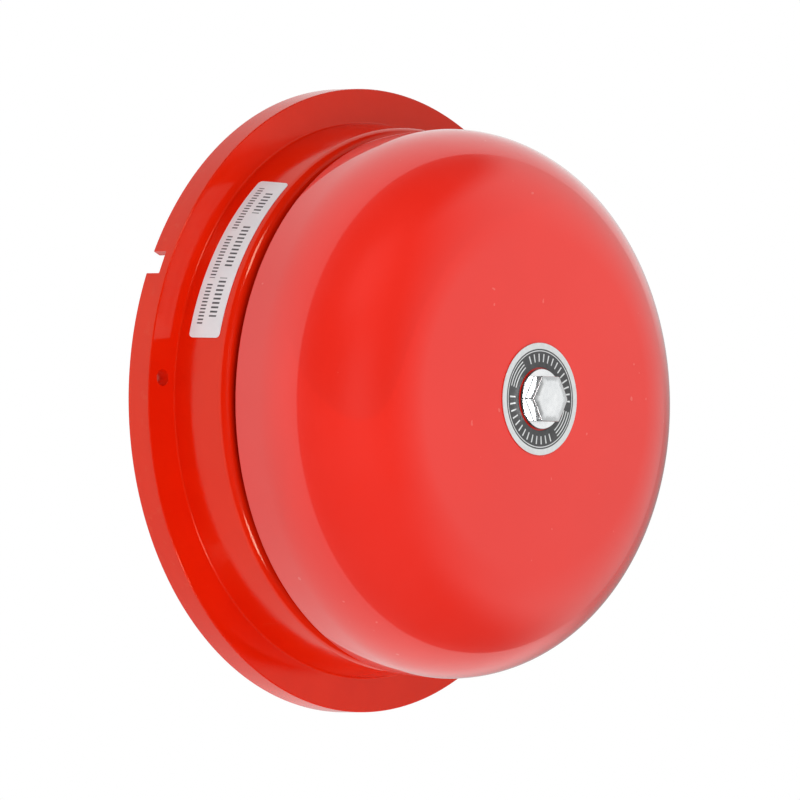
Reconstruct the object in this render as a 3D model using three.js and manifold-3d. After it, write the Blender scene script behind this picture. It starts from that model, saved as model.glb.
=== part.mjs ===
// Wall-mounted fire alarm bell with a 150 mm gong, struck from inside by a solenoid.
//
// Everything is drawn as a front elevation: x to the right, y up, z out from the wall, in mm, with
// the wall plane at z = 0 and the gong's axis at x = y = 0. The whole bell is turned once at the end,
// so that in the finished part +Z is up and the gong faces -Y.

import * as THREE from 'three';
import { mergeVertices } from 'three/addons/utils/BufferGeometryUtils.js';
import Module from 'manifold-3d';

const wasm = await Module();
wasm.setup();

// ---------------------------------------------------------------- driving dimensions

const gap = 0.3; // clearance between neighbours that touch
const roundSides = 60; // sides of the large turned shapes
const middleSides = 20; // sides of the solenoid's and the post's turned pieces
const smallSides = 14; // sides of the small ones

const base = {
  rimRadius: 87, // at the wall
  rimDraft: 0.2,
  rimDepth: 7.7, // wall to flange face
  neckRadius: 77.2, // where the neck leaves the flange
  lipRadius: 75.4,
  lipRound: 3.2,
  frontHeight: 25.3,
  wellRadius: 62, // recess that takes the mechanism
  wellFloor: 15,
  wall: 2.6,
};
const floorBack = base.wellFloor - base.wall;

const fixing = { radius: 81.7, angle: 177.1, holeRadius: 2.2, padRadius: 4.2 }; // wall screws, two
const cableNotch = { angle: 156, width: 6.6, depth: 4.8 };

const gong = {
  rimRadius: 75,
  rimHeight: 28.2,
  skirtDraft: 2.74, // degrees, wider towards the shoulder
  shoulderCentre: [44.7, 39.1], // radius, height
  shoulderRadius: 30.8,
  topHeight: 70.4,
  domeRadius: 2000,
  thickness: 1.8,
  holeRadius: 5.4,
  drop: 1.1, // it hangs this far below its bolt, by the clearance in its hole
};

const bolt = { shankRadius: 4, acrossFlats: 12.2, headHeight: 3.3, tipHeight: 52 };
const washer = { radius: 8.2, thickness: 1 };
const decal = { inner: 8.6, outer: 15.25, thickness: 0.2, lift: 0.1 };
const label = { angle: 148.9, length: 51, low: 11.9, high: 21.9, lift: 0.1, thickness: 0.2 };

const chassis = { low: base.wellFloor + gap, thickness: 1.5 };
const chassisTop = chassis.low + chassis.thickness;
const post = { radius: 7, collarRadius: 9, spigotRadius: 4, boreRadius: 4.35, boreDepth: 16 };
const fibreWasher = { inner: 4.6, outer: 10, thickness: 1.5 };
const postTop = gong.topHeight - gong.thickness - fibreWasher.thickness - 2 * gap;

// Solenoid: sizes along its own axis are distances out from the gong's axis.
const solenoidHeight = 34;
const stroke = 4;
const frame = { inner: 25.3, outer: 56.6, sheet: 2, width: 22, height: 31.4 };
const bobbin = { boreRadius: 5.25, tubeRadius: 6.4, flangeRadius: 14, flange: 1.5 };
const coil = { innerRadius: 6.7, outerRadius: 12.2, tapeInner: 12.5, tapeOuter: 13 };
const plunger = { start: 13.3, end: 44, radius: 4.9, grooveRadius: 4.1, grooveStart: 14.4 };
const rod = { radius: 1.5, start: 36.4, end: 67.1 };
const tip = { start: 63.6, end: 70.4, radius: 4.2 };
const spring = { wireRadius: 0.45, meanRadius: 6.2, turns: 4, start: 16.3, end: 24.5 };
const backstop = { start: 8.6, sheet: 1.5, width: 12, footEnd: 23, screwAt: 19, top: 42 };

const chassisScrews = [
  [-17, -51],
  [17, -51],
  [0, 17],
];
const frameScrew = [14.5, -40];

const terminal = {
  angle: 154,
  radius: 44, // of its centre from the gong's axis
  length: 18,
  width: 19,
  low: 3.4,
  wireSpacing: 11.2,
  wireHeight: 8.2,
  wireHoleRadius: 2.7,
};
const grommet = { x: -25, y: -2, holeRadius: 5, flangeRadius: 6.4, boreRadius: 2.3 };
const leadRadius = 0.9;
const diode = { x: -24.5, z: 21.5, top: -9.8, bottom: -24, bodyRadius: 2.7, bodyLength: 9 };
const coilPin = { x: -14, length: 3.2, radius: 0.5, offset: 3 };

// ---------------------------------------------------------------- materials

const material = (color, roughness, metalness) =>
  new THREE.MeshStandardMaterial({ color, roughness, metalness });

const redPlastic = material(0xe32608, 0.3, 0);
const redEnamel = material(0xd8211f, 0.22, 0);
const zinc = material(0xc9ccd0, 0.25, 1);
const platedSteel = material(0xa9a79f, 0.4, 1);
const ironGrey = material(0x77787a, 0.5, 1);
const brass = material(0xc29a4e, 0.35, 1);
const nylon = material(0xe7e2d2, 0.5, 0);
const blackPlastic = material(0x202022, 0.5, 0);
const rubber = material(0x1b1b1b, 0.8, 0);
const fibre = material(0x7c4a2c, 0.8, 0);
const copper = material(0xa8522b, 0.35, 1);
const tapeYellow = material(0xd8b23a, 0.45, 0);
const paperWhite = material(0xf2f2f0, 0.5, 0);
const printedFoil = material(0x3c3c40, 0.4, 0.2);
const redLeadSkin = material(0xb3241c, 0.45, 0);
const blueLeadSkin = material(0x2a4f9c, 0.45, 0);

// ---------------------------------------------------------------- shape helpers

const radians = THREE.MathUtils.degToRad;

// Points on an arc, from one angle to another in degrees.
function arc(centreX, centreY, radius, from, to, steps) {
  return Array.from({ length: steps + 1 }, (_, i) => {
    const angle = radians(from + ((to - from) * i) / steps);
    return [centreX + radius * Math.cos(angle), centreY + radius * Math.sin(angle)];
  });
}

// A [radius, height] outline turned round the z axis. An outline off the axis closes on itself.
function turned(outline, sides = smallSides) {
  const points = outline.map(([radius, height]) => new THREE.Vector2(radius, height));
  if (THREE.ShapeUtils.isClockWise(points)) points.reverse();
  const touchesAxis = points[0].x === 0 && points.at(-1).x === 0;
  if (!touchesAxis) points.push(points[0].clone());
  return new THREE.LatheGeometry(points, sides).rotateX(Math.PI / 2);
}

const tube = (inner, outer, low, high, sides = smallSides) =>
  turned([[inner, low], [outer, low], [outer, high], [inner, high]], sides);

const cylinder = (radius, low, high, sides = smallSides) =>
  turned([[0, low], [radius, low], [radius, high], [0, high]], sides);

// A cylinder with a chamfered edge at one end or both.
function chamfered(radius, low, high, edge, sides = smallSides) {
  const side = [[radius - edge, low], [radius, low + edge], [radius, high - edge], [radius - edge, high]];
  return turned([[0, low], ...side, [0, high]], sides);
}

function box(xs, ys, zs) {
  const size = [xs, ys, zs].map(([low, high]) => high - low);
  const middle = [xs, ys, zs].map(([low, high]) => (low + high) / 2);
  return new THREE.BoxGeometry(...size).translate(...middle);
}

function plate(outline, low, thickness, curveSegments = 6) {
  const options = { depth: thickness, bevelEnabled: false, curveSegments };
  return new THREE.ExtrudeGeometry(outline, options).translate(0, 0, low);
}

// A closed shape of straight and curved stretches, given by points, with round holes.
function outlined(points, holes = []) {
  const outline = new THREE.Shape(points.map(([x, y]) => new THREE.Vector2(x, y)));
  for (const [x, y, radius] of holes) {
    outline.holes.push(new THREE.Path().absarc(x, y, radius, 0, 2 * Math.PI, true));
  }
  return outline;
}

// A round section swept along a curve.
function swept(curve, radius, steps, sides) {
  const section = new THREE.Shape(
    Array.from({ length: sides }, (_, i) => {
      const angle = (2 * Math.PI * i) / sides;
      return new THREE.Vector2(radius * Math.cos(angle), radius * Math.sin(angle));
    }),
  );
  return new THREE.ExtrudeGeometry(section, { steps, bevelEnabled: false, extrudePath: curve });
}

// Boolean cuts and joins.
function solid(geometry) {
  const bare = geometry.clone();
  bare.deleteAttribute('normal');
  bare.deleteAttribute('uv');
  const merged = mergeVertices(bare, 1e-4);
  return new wasm.Manifold(
    new wasm.Mesh({
      numProp: 3,
      vertProperties: merged.attributes.position.array,
      triVerts: new Uint32Array(merged.index.array),
    }),
  );
}

function fromSolid(manifold) {
  const mesh = manifold.getMesh();
  const geometry = new THREE.BufferGeometry();
  geometry.setAttribute('position', new THREE.BufferAttribute(mesh.vertProperties, 3));
  geometry.setIndex(new THREE.BufferAttribute(mesh.triVerts, 1));
  geometry.computeVertexNormals();
  return geometry;
}

function carved(start, added, removed) {
  let body = solid(start);
  for (const geometry of added) body = body.add(solid(geometry));
  for (const geometry of removed) body = body.subtract(solid(geometry));
  return fromSolid(body);
}

// ---------------------------------------------------------------- assembly

const bell = new THREE.Group();
const solenoid = new THREE.Group(); // its z axis points down, away from the gong's axis
solenoid.position.z = solenoidHeight;
solenoid.rotation.x = Math.PI / 2;
bell.add(solenoid);

function add(parent, name, geometry, finish) {
  const mesh = new THREE.Mesh(geometry, finish);
  mesh.name = name;
  parent.add(mesh);
  return mesh;
}

// ---------------------------------------------------------------- base

// Moulded in one piece, hollow at the back, with a well in front for the mechanism.
function baseShell() {
  const { rimRadius, rimDraft, rimDepth, neckRadius, lipRadius, lipRound } = base;
  const { frontHeight, wellRadius, wellFloor, wall } = base;
  const flangeEdge = rimRadius - rimDraft;
  const lipCentre = [lipRadius - lipRound, frontHeight - lipRound];
  const shell = turned(
    [
      [0, floorBack],
      [wellRadius + wall, floorBack],
      [wellRadius + wall, frontHeight - wall],
      [lipRadius - wall, frontHeight - wall],
      [neckRadius - wall, rimDepth - wall],
      [rimRadius - wall, rimDepth - wall],
      [rimRadius - wall, 0],
      [rimRadius, 0],
      [flangeEdge, rimDepth - 0.4],
      [flangeEdge - 0.4, rimDepth],
      [neckRadius + 0.5, rimDepth],
      [neckRadius, rimDepth + 0.5],
      ...arc(...lipCentre, lipRound, 0, 90, 5),
      [wellRadius + 0.8, frontHeight],
      [wellRadius, frontHeight - 0.8],
      [wellRadius, wellFloor],
      [0, wellFloor],
    ],
    roundSides,
  );

  const added = [];
  const removed = [];

  // Ribs between the neck and the well, and on the back of the well's floor.
  const ribThickness = 1.8;
  const trenchRib = outlined([
    [wellRadius + 1, 7],
    [neckRadius - wall + 1, 7],
    [lipRadius - wall + 1, frontHeight - 1.5],
    [wellRadius + 1, frontHeight - 1.5],
  ]);
  for (let angle = 22.5; angle < 360; angle += 45) {
    const rib = plate(trenchRib, -ribThickness / 2, ribThickness).rotateX(Math.PI / 2);
    added.push(rib.rotateZ(radians(angle)));
  }
  const ribInner = 13;
  const ribDepth = 4;
  for (let angle = -135; angle <= 135; angle += 45) {
    const across = [-ribThickness / 2, ribThickness / 2];
    const rib = box([ribInner, wellRadius + 1], across, [floorBack - ribDepth, floorBack + 1]);
    added.push(rib.rotateZ(radians(angle)));
  }

  // Bosses for the chassis screws, with blind holes open to the front.
  for (const [x, y] of chassisScrews) {
    added.push(cylinder(4, 4.5, floorBack + 1).translate(x, y, 0));
    removed.push(cylinder(1.8, 6.5, wellFloor + 1, 12).translate(x, y, 0));
  }

  // Pads for the two wall screws, flush with the back edge.
  for (const angle of [fixing.angle, fixing.angle + 180]) {
    const x = fixing.radius * Math.cos(radians(angle));
    const y = fixing.radius * Math.sin(radians(angle));
    added.push(cylinder(fixing.padRadius, 0, rimDepth - 1).translate(x, y, 0));
    removed.push(cylinder(fixing.holeRadius, -1, rimDepth + 1).translate(x, y, 0));
  }

  // Notch that lets a surface cable in under the rim.
  const halfNotch = cableNotch.width / 2;
  const notch = box([rimRadius - wall - 1, rimRadius + 1], [-halfNotch, halfNotch], [-1, cableNotch.depth]);
  removed.push(notch.rotateZ(radians(cableNotch.angle)));

  // Openings in the well's floor: post, lead grommet and the terminal block's screw.
  const throughFloor = [floorBack - 1, wellFloor + 1];
  removed.push(cylinder(post.spigotRadius + gap, ...throughFloor));
  removed.push(cylinder(grommet.holeRadius, ...throughFloor).translate(grommet.x, grommet.y, 0));
  const blockScrewHole = cylinder(1.5, floorBack - 1, floorBack + 1.8, 12);
  removed.push(blockScrewHole.translate(terminal.radius, 0, 0).rotateZ(radians(terminal.angle)));

  return carved(shell, added, removed);
}
add(bell, 'base_shell', baseShell(), redPlastic);

// Blank rating label bent round the neck's cone.
function ratingLabel() {
  const slope = (base.neckRadius - base.lipRadius) / (base.frontHeight - base.lipRound - base.rimDepth);
  const surfaceAt = (height) => base.neckRadius - slope * (height - base.rimDepth) + label.lift;
  const sheet = turned(
    [
      [surfaceAt(label.low), label.low],
      [surfaceAt(label.low) + label.thickness, label.low],
      [surfaceAt(label.high) + label.thickness, label.high],
      [surfaceAt(label.high), label.high],
    ],
    2 * roundSides,
  );
  const halfAngle = (label.length / base.neckRadius / 2) * (180 / Math.PI);
  const reach = 1.1 * base.rimRadius;
  const sector = outlined([[0, 0], ...arc(0, 0, reach, -halfAngle, halfAngle, 4)]);
  const wedge = plate(sector, 0, base.frontHeight).rotateZ(radians(label.angle));
  return fromSolid(solid(sheet).intersect(solid(wedge)));
}
add(bell, 'rating_label', ratingLabel(), paperWhite);

// ---------------------------------------------------------------- gong and its fastening

// Pressed steel shell: drafted skirt, round shoulder and a nearly flat face with a centre hole.
function gongShell() {
  const { rimRadius, rimHeight, skirtDraft, shoulderCentre, shoulderRadius, thickness } = gong;
  const domeAngle = (Math.asin(shoulderCentre[0] / gong.domeRadius) * 180) / Math.PI;
  const dome = (radius) => gong.topHeight - radius ** 2 / (2 * gong.domeRadius);
  const edge = 0.4;
  const shoulder = (radius) => arc(...shoulderCentre, radius, -skirtDraft, 90 - domeAngle, 7);
  return turned(
    [
      [rimRadius - edge, rimHeight],
      [rimRadius, rimHeight + edge],
      ...shoulder(shoulderRadius),
      [gong.holeRadius, dome(gong.holeRadius)],
      [gong.holeRadius, dome(gong.holeRadius) - thickness],
      ...shoulder(shoulderRadius - thickness).reverse(),
      [rimRadius - thickness, rimHeight + edge],
      [rimRadius - thickness + edge, rimHeight],
    ],
    roundSides,
  );
}
add(bell, 'gong', gongShell(), redEnamel).position.y = -gong.drop;

const decalLow = gong.topHeight + decal.lift;
const decalRing = tube(decal.inner, decal.outer, decalLow, decalLow + decal.thickness, 30);
add(bell, 'gong_decal', decalRing, printedFoil);

const washerLow = gong.topHeight + decal.lift;
const washerTop = washerLow + washer.thickness;
const washerRing = tube(post.boreRadius, washer.radius, washerLow, washerTop, middleSides);
add(bell, 'gong_washer', washerRing, zinc);

// Hexagon head with its corners to the left and right, its top sloping gently to the corners.
function gongBolt() {
  const headLow = washerTop + decal.lift;
  const headTop = headLow + bolt.headHeight;
  const corner = bolt.acrossFlats / Math.sqrt(3);
  const topCircle = 4.3;
  const slope = 0.4 / (corner - topCircle);
  const hexagon = outlined(arc(0, 0, corner, 0, 300, 5));
  const chamferCone = turned([
    [0, headLow - 1],
    [corner + 1, headLow - 1],
    [corner + 1, headTop - slope * (corner + 1 - topCircle)],
    [topCircle, headTop],
    [0, headTop],
  ], 36);
  const head = solid(plate(hexagon, headLow, bolt.headHeight)).intersect(solid(chamferCone));
  const shank = chamfered(bolt.shankRadius, bolt.tipHeight, headLow + 1, 0.6, middleSides);
  return fromSolid(head.add(solid(shank)));
}
add(bell, 'gong_bolt', gongBolt(), zinc);

const fibreLow = postTop + gap;
const fibreTop = fibreLow + fibreWasher.thickness;
const fibreRing = tube(fibreWasher.inner, fibreWasher.outer, fibreLow, fibreTop, middleSides);
add(bell, 'fibre_washer', fibreRing, fibre);

// Post with a collar for the gong, a threaded bore in front and a spigot through the base.
const postOutline = [
  [0, 3.6],
  [post.spigotRadius - 0.5, 3.6],
  [post.spigotRadius, 4.1],
  [post.spigotRadius, chassisTop + gap],
  [post.radius, chassisTop + gap],
  [post.radius, postTop - 6],
  [post.collarRadius, postTop - 4],
  [post.collarRadius, postTop],
  [post.boreRadius, postTop],
  [post.boreRadius, postTop - post.boreDepth],
  [0, postTop - post.boreDepth],
];
add(bell, 'gong_post', turned(postOutline, middleSides), platedSteel);

const postWasherTop = floorBack - gap;
const postWasher = tube(post.boreRadius, 9, postWasherTop - 1.5, postWasherTop, middleSides);
add(bell, 'post_washer', postWasher, platedSteel);

function postNut() {
  const top = postWasherTop - 1.5 - gap;
  const height = 5.4;
  const hexagon = outlined(arc(0, 0, 13 / Math.sqrt(3), 0, 300, 5), [[0, 0, post.boreRadius]]);
  return plate(hexagon, top - height, height, 12);
}
add(bell, 'post_nut', postNut(), platedSteel);

// ---------------------------------------------------------------- chassis

// Stepped plate: wide under the solenoid, narrow past the post, with a tab for the third screw.
function chassisPlate() {
  const wide = 21.5;
  const narrow = 14;
  const bottom = -56.5;
  const corner = 4;
  const tab = 8;
  const tabY = chassisScrews[2][1];
  const outline = [
    ...arc(wide - corner, bottom + corner, corner, -90, 0, 3),
    [wide, -32],
    [narrow, -25],
    [narrow, 5],
    ...arc(0, tabY, tab, 0, 180, 8),
    [-narrow, 5],
    [-narrow, -25],
    [-wide, -32],
    ...arc(-wide + corner, bottom + corner, corner, 180, 270, 3),
  ];
  const holes = [
    [0, 0, post.spigotRadius + gap],
    ...chassisScrews.map(([x, y]) => [x, y, 2.2]),
    [frameScrew[0], frameScrew[1], 1.6],
    [-frameScrew[0], frameScrew[1], 1.6],
    [0, -backstop.screwAt, 1.6],
  ];
  return plate(outlined(outline, holes), chassis.low, chassis.thickness, 6);
}
add(bell, 'chassis_plate', chassisPlate(), platedSteel);

// Pan-head screw standing on a surface, its point towards the wall.
function panHeadScrew(headRadius, headHeight, shankRadius, surface, length) {
  const low = surface + gap;
  return turned([
    [0, surface - length],
    [shankRadius * 0.5, surface - length],
    [shankRadius, surface - length + shankRadius],
    [shankRadius, low],
    [headRadius, low],
    [headRadius, low + headHeight * 0.5],
    [headRadius * 0.65, low + headHeight],
    [0, low + headHeight],
  ], 12);
}

chassisScrews.forEach(([x, y], i) => {
  const screw = panHeadScrew(3.5, 2.2, 1.5, chassisTop, 9);
  add(bell, `chassis_screw_${i + 1}`, screw, zinc).position.set(x, y, 0);
});

// ---------------------------------------------------------------- solenoid frame and coil

// U-shaped iron frame with an ear on each side for its screws.
function frameYoke() {
  const { inner, outer, sheet, width, height } = frame;
  const half = width / 2;
  const low = chassisTop + gap - solenoidHeight;
  const top = low + height;
  const innerBend = 0.8;
  const outerBend = innerBend + sheet;
  // Drawn as [distance out, height] and then stood across the solenoid.
  const profile = outlined([
    [inner, top],
    ...arc(inner + outerBend, low + outerBend, outerBend, 180, 270, 3),
    ...arc(outer - outerBend, low + outerBend, outerBend, 270, 360, 3),
    [outer, top],
    [outer - sheet, top],
    ...arc(outer - outerBend, low + outerBend, innerBend, 0, -90, 3),
    ...arc(inner + outerBend, low + outerBend, innerBend, -90, -180, 3),
    [inner + sheet, top],
  ]);
  const across = new THREE.Matrix4().makeBasis(
    new THREE.Vector3(0, 0, 1),
    new THREE.Vector3(0, 1, 0),
    new THREE.Vector3(-1, 0, 0),
  );
  const strip = plate(profile, -half, width).applyMatrix4(across);
  const earY = -frameScrew[1];
  const ears = box([-frameScrew[0] - 4, frameScrew[0] + 4], [low, low + sheet], [earY - 5, earY + 5]);
  const holes = [-1, 1].map((side) =>
    cylinder(1.9, -3, 3, 12)
      .rotateX(Math.PI / 2)
      .translate(side * frameScrew[0], low + sheet / 2, earY),
  );
  holes.push(cylinder(bobbin.boreRadius, inner - 1, inner + sheet + 1, middleSides));
  holes.push(cylinder(4.4, outer - sheet - 1, outer + 1, middleSides));
  return carved(strip, [ears], holes);
}
add(solenoid, 'solenoid_frame', frameYoke(), ironGrey);

const frameTop = chassisTop + gap + frame.sheet;
for (const [side, x] of [['left', -frameScrew[0]], ['right', frameScrew[0]]]) {
  const screw = panHeadScrew(2.9, 1.8, 1.3, frameTop, 3.6);
  add(bell, `frame_screw_${side}`, screw, zinc).position.set(x, frameScrew[1], 0);
}

const bobbinStart = frame.inner + frame.sheet + gap;
const bobbinEnd = frame.outer - frame.sheet - gap;
const bobbinOutline = [
  [bobbin.boreRadius, bobbinStart],
  [bobbin.flangeRadius, bobbinStart],
  [bobbin.flangeRadius, bobbinStart + bobbin.flange],
  [bobbin.tubeRadius, bobbinStart + bobbin.flange],
  [bobbin.tubeRadius, bobbinEnd - bobbin.flange],
  [bobbin.flangeRadius, bobbinEnd - bobbin.flange],
  [bobbin.flangeRadius, bobbinEnd],
  [bobbin.boreRadius, bobbinEnd],
];
add(solenoid, 'coil_bobbin', turned(bobbinOutline, middleSides), nylon);

const windingStart = bobbinStart + bobbin.flange + gap;
const windingEnd = bobbinEnd - bobbin.flange - gap;
const winding = tube(coil.innerRadius, coil.outerRadius, windingStart, windingEnd, middleSides);
add(solenoid, 'coil_winding', winding, copper);
const tape = tube(coil.tapeInner, coil.tapeOuter, windingStart, windingEnd, middleSides);
add(solenoid, 'coil_tape', tape, tapeYellow);

// Fixed pole riveted into the frame's outer leg, bored for the guide bush.
const poleStart = plunger.end + stroke + 0.4;
const poleOutline = [
  [2.9, poleStart],
  [4.9, poleStart],
  [4.9, bobbinEnd],
  [4.1, bobbinEnd],
  [4.1, frame.outer + 0.5],
  [2.9, frame.outer + 0.5],
];
add(solenoid, 'pole_piece', turned(poleOutline, middleSides), ironGrey);

const bushOutline = [
  [1.8, poleStart + 0.4],
  [2.6, poleStart + 0.4],
  [2.6, frame.outer + 0.8],
  [4, frame.outer + 0.8],
  [4, frame.outer + 2],
  [1.8, frame.outer + 2],
];
add(solenoid, 'guide_bush', turned(bushOutline), nylon);

for (const [name, side] of [['coil_pin_live', -1], ['coil_pin_neutral', 1]]) {
  const pin = cylinder(coilPin.radius, 0, coilPin.length, 8).rotateY(-Math.PI / 2);
  const place = [coilPin.x, side * coilPin.offset, bobbinStart + bobbin.flange / 2];
  add(solenoid, name, pin, brass).position.set(...place);
}

// ---------------------------------------------------------------- striker, the moving group

const grooveEnd = plunger.grooveStart + 1.4;
const plungerOutline = [
  [0, plunger.start],
  [plunger.radius - 0.6, plunger.start],
  [plunger.radius, plunger.start + 0.6],
  [plunger.radius, plunger.grooveStart],
  [plunger.grooveRadius, plunger.grooveStart],
  [plunger.grooveRadius, grooveEnd],
  [plunger.radius, grooveEnd],
  [plunger.radius, plunger.end - 0.4],
  [plunger.radius - 0.4, plunger.end],
  [rod.radius + gap, plunger.end],
  [rod.radius + gap, rod.start - 0.4],
  [0, rod.start - 0.4],
];
add(solenoid, 'plunger', turned(plungerOutline, middleSides), ironGrey);

// Open retaining clip snapped into the plunger's groove.
function plungerClip() {
  const opening = 35;
  const innerRadius = plunger.grooveRadius + gap;
  const outline = outlined([
    ...arc(0, 0, 7.4, -90 + opening, 270 - opening, 16),
    ...arc(0, 0, innerRadius, 270 - opening, -90 + opening, 16),
  ]);
  return plate(outline, plunger.grooveStart + gap, 0.8);
}
add(solenoid, 'plunger_clip', plungerClip(), zinc);

class Helix extends THREE.Curve {
  getPoint(t, target = new THREE.Vector3()) {
    const angle = 2 * Math.PI * spring.turns * t;
    const along = spring.start + (spring.end - spring.start) * t;
    return target.set(spring.meanRadius * Math.cos(angle), spring.meanRadius * Math.sin(angle), along);
  }
}
const springWire = swept(new Helix(), spring.wireRadius, 12 * spring.turns, 5);
add(solenoid, 'return_spring', springWire, zinc);

add(solenoid, 'striker_rod', chamfered(rod.radius, rod.start, rod.end, 0.3, 12), brass);

const tipOutline = [
  [rod.radius + gap, tip.start],
  [tip.radius - 1, tip.start],
  [tip.radius, tip.start + 1],
  ...arc(0, tip.end - tip.radius, tip.radius, 25, 90, 4).slice(0, -1),
  [0, tip.end],
  [0, rod.end + gap],
  [rod.radius + gap, rod.end + gap],
];
add(solenoid, 'striker_tip', turned(tipOutline), nylon);

// ---------------------------------------------------------------- backstop

// L-shaped strip that carries the rubber buffer behind the plunger.
function backstopBracket() {
  const half = backstop.width / 2;
  const low = chassisTop + gap;
  const { start, sheet, footEnd, top } = backstop;
  const foot = box([-half, half], [-footEnd, -start], [low, low + sheet]);
  const upright = box([-half, half], [-start - sheet, -start], [low + sheet / 2, top]);
  const screwHole = cylinder(1.9, low - 1, low + sheet + 1, 12).translate(0, -backstop.screwAt, 0);
  const bufferHole = cylinder(2.2, start - 1, start + sheet + 1, 16)
    .rotateX(Math.PI / 2)
    .translate(0, 0, solenoidHeight);
  return carved(foot, [upright], [screwHole, bufferHole]);
}
add(bell, 'backstop_bracket', backstopBracket(), platedSteel);

const backstopScrew = panHeadScrew(2.9, 1.8, 1.3, chassisTop + gap + backstop.sheet, 3.2);
add(bell, 'backstop_screw', backstopScrew, zinc).position.y = -backstop.screwAt;

const bufferFace = backstop.start + backstop.sheet + gap;
const bufferOutline = [
  [0, 7.5],
  [2.6, 7.5],
  [2.6, backstop.start - gap],
  [1.9, backstop.start - gap],
  [1.9, bufferFace],
  [4.5, bufferFace],
  [4.5, plunger.start - 0.8],
  [4, plunger.start - gap],
  [0, plunger.start - gap],
];
add(solenoid, 'rubber_buffer', turned(bufferOutline), rubber);

// ---------------------------------------------------------------- wiring

// The terminal block lies on the back of the well's floor and its wire ways face the cable notch.
const outward = radians(terminal.angle);
const wiring = new THREE.Group();
wiring.rotation.z = outward;
bell.add(wiring);

const poles = [['live', -1], ['neutral', 1]];
const halfSpacing = terminal.wireSpacing / 2;

function terminalBlock() {
  const { radius, length, width, low, wireHeight, wireHoleRadius } = terminal;
  const start = radius - length / 2;
  const body = box([start, start + length], [-width / 2, width / 2], [low, floorBack - gap]);
  const removed = [
    cylinder(1.5, low - 1, floorBack + 1, 12).translate(radius, 0, 0),
    cylinder(2.8, low - 1, low + 2.2, 16).translate(radius, 0, 0),
  ];
  for (const [, side] of poles) {
    const way = cylinder(wireHoleRadius, start - 1, start + length + 1, 16).rotateY(Math.PI / 2);
    removed.push(way.translate(0, side * halfSpacing, wireHeight));
    removed.push(cylinder(2.2, low - 1, wireHeight, 16).translate(radius, side * halfSpacing, 0));
  }
  return carved(body, [], removed);
}
add(wiring, 'terminal_block', terminalBlock(), blackPlastic);

for (const [name, side] of poles) {
  const sleeveStart = terminal.radius - 7;
  const sleeve = tube(1.5, 2.4, sleeveStart, sleeveStart + 14, 16).rotateY(Math.PI / 2);
  const sleeveMesh = add(wiring, `terminal_sleeve_${name}`, sleeve, brass);
  sleeveMesh.position.set(0, side * halfSpacing, terminal.wireHeight);

  const screwEnd = terminal.wireHeight - 2.4 - gap;
  const screw = chamfered(1.9, terminal.low - 0.4, screwEnd, 0.3, 16);
  add(wiring, `terminal_screw_${name}`, screw, brass).position.set(terminal.radius, side * halfSpacing, 0);
}

const blockScrew = turned([
  [0, terminal.low + 0.2],
  [2.4, terminal.low + 0.2],
  [2.4, terminal.low + 1.9],
  [1.2, terminal.low + 1.9],
  [1.2, floorBack + 0.6],
  [0.5, floorBack + 1.4],
  [0, floorBack + 1.4],
], 16);
add(wiring, 'terminal_block_screw', blockScrew, zinc).position.x = terminal.radius;

const grommetOutline = [
  [grommet.boreRadius, floorBack - 1.5],
  [grommet.flangeRadius, floorBack - 1.5],
  [grommet.flangeRadius, floorBack - gap],
  [grommet.holeRadius - gap, floorBack - gap],
  [grommet.holeRadius - gap, base.wellFloor + gap],
  [grommet.flangeRadius, base.wellFloor + gap],
  [grommet.flangeRadius, base.wellFloor + 1.5],
  [grommet.boreRadius, base.wellFloor + 1.5],
];
add(bell, 'lead_grommet', turned(grommetOutline), rubber).position.set(grommet.x, grommet.y, 0);

// Leads between the terminal block, the diode and the coil's pins.
function lead(name, route, steps, finish) {
  const curve = new THREE.CatmullRomCurve3(route.map((point) => new THREE.Vector3(...point)));
  add(bell, name, swept(curve, leadRadius, steps, 6), finish);
}

// A point on a wire way of the terminal block, in front elevation.
function wireWay(distance, side) {
  const along = [Math.cos(outward) * distance, Math.sin(outward) * distance];
  const across = [-Math.sin(outward) * halfSpacing * side, Math.cos(outward) * halfSpacing * side];
  return [along[0] + across[0], along[1] + across[1], terminal.wireHeight];
}

const pinY = -(bobbinStart + bobbin.flange / 2);
const pinTip = coilPin.x - coilPin.length - gap;
const blockInner = terminal.radius - terminal.length / 2;
const throughGrommet = leadRadius + 0.15; // the two leads lie side by side in the grommet

const neutralX = grommet.x - throughGrommet;
const liveX = grommet.x + throughGrommet;
lead('lead_diode', [
  wireWay(blockInner + 3, 1),
  wireWay(blockInner - 0.5, 1),
  [-29.8, 8.6, 7.6],
  [-27.2, 4.4, 6.4],
  [-26.2, 0.4, 7.2],
  [neutralX, grommet.y, 10.5],
  [neutralX, grommet.y, 14],
  [-26, -2.8, 17.8],
  [-25.3, -5.2, 20.6],
  [diode.x, diode.top + 2.2, diode.z],
  [diode.x, diode.top + gap, diode.z],
], 26, redLeadSkin);

lead('lead_coil', [
  wireWay(blockInner + 3, -1),
  wireWay(blockInner - 0.5, -1),
  [-25.4, 17.6, 7.6],
  [-23, 12.6, 6.4],
  [-22.8, 5, 6],
  [-23.6, 0.4, 7.2],
  [liveX, grommet.y, 10.5],
  [liveX, grommet.y, 14],
  [-23.5, -2.9, 17.6],
  [-21.6, -5.4, 20.6],
  [-19.6, -10, 24],
  [-18.9, -17, 29.5],
  [-18.9, -24, 35.2],
  [-18.6, -27.6, 36.9],
  [pinTip, pinY, solenoidHeight + coilPin.offset],
], 32, blueLeadSkin);

lead('lead_diode_to_coil', [
  [diode.x, diode.bottom - gap, diode.z],
  [diode.x, diode.bottom - 2.2, diode.z + 0.6],
  [-23.6, -28, 25.4],
  [-21.2, pinY, 29.6],
  [pinTip, pinY, solenoidHeight - coilPin.offset],
], 14, redLeadSkin);

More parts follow.
